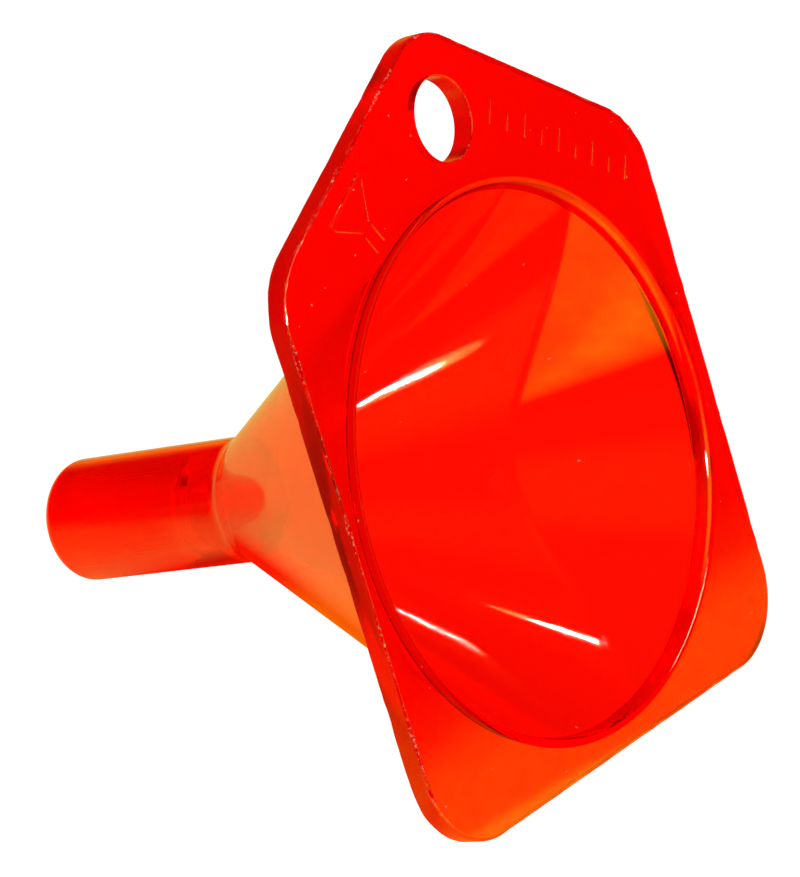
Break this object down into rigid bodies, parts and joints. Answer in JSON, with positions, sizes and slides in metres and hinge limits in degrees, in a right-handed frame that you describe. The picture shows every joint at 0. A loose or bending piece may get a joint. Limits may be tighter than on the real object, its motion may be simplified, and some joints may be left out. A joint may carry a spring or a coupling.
{
  "type": "filling funnel",
  "caption": "Small moulded filling funnel with a five-sided hanging flange, a 60 degree cone and a thick spout with a tapered seat for narrow necks.",
  "frame": {"origin": "centre of the bounding box's bottom face, in the plane of the spout's tip; the funnel's own axis is parallel to Z through x = 0, y = -0.00849 m", "axes": "+Z from the spout's tip to the mouth, along the funnel's axis; +Y from the flange's straight bottom edge towards its peak with the hang hole; +X to the right when looking into the mouth with the peak up"},
  "size_m": [0.0778, 0.0952, 0.0834],
  "materials": {
    "red_polystyrene": "clear tinted red, moulded gloss with fine scratches"
  },
  "bodies": {
    "root": {"funnel_body": "red_polystyrene"}
  },
  "joints": []
}
